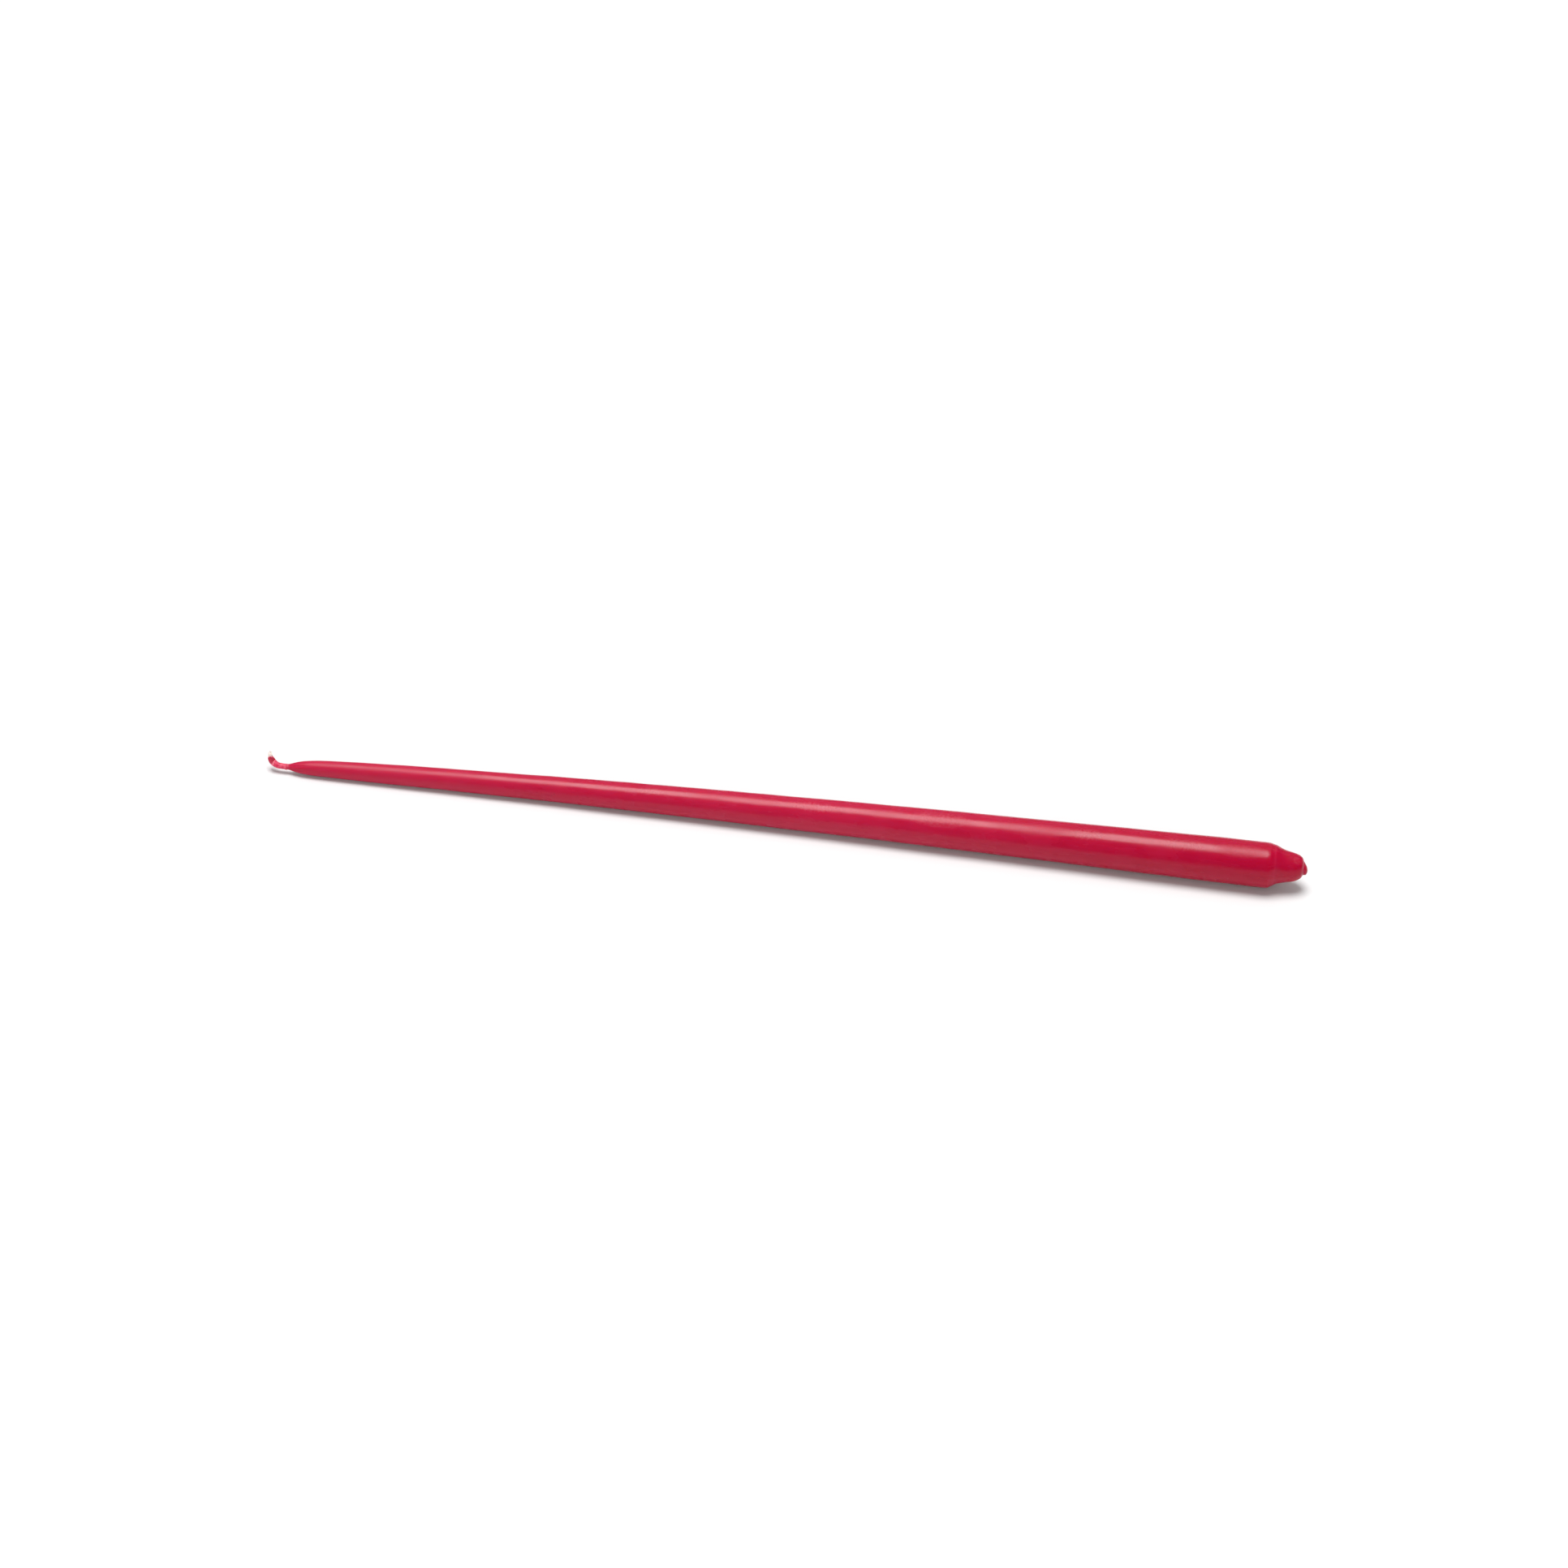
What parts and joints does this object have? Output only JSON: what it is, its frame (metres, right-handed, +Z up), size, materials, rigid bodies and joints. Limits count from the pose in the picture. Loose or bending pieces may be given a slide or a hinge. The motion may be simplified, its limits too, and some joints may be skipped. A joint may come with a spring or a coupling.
{
  "type": "taper candle",
  "caption": "Long, slim hand-dipped taper candle in red wax, with a round butt, a cooled drip at its base and a short hooked cotton wick, lying on its side.",
  "frame": {"origin": "on the surface that the candle lies on, under the middle of its bounding box", "axes": "+X along the butt's axis in plan, from the wick end to the butt; +Z up; the tip bends away from the line of the butt towards -Y"},
  "size_m": [0.3001, 0.013, 0.0132],
  "materials": {
    "wax": "satin",
    "cotton_wick": "matt"
  },
  "bodies": {
    "root": {"wax_body": "wax", "wick": "cotton_wick"}
  },
  "joints": []
}
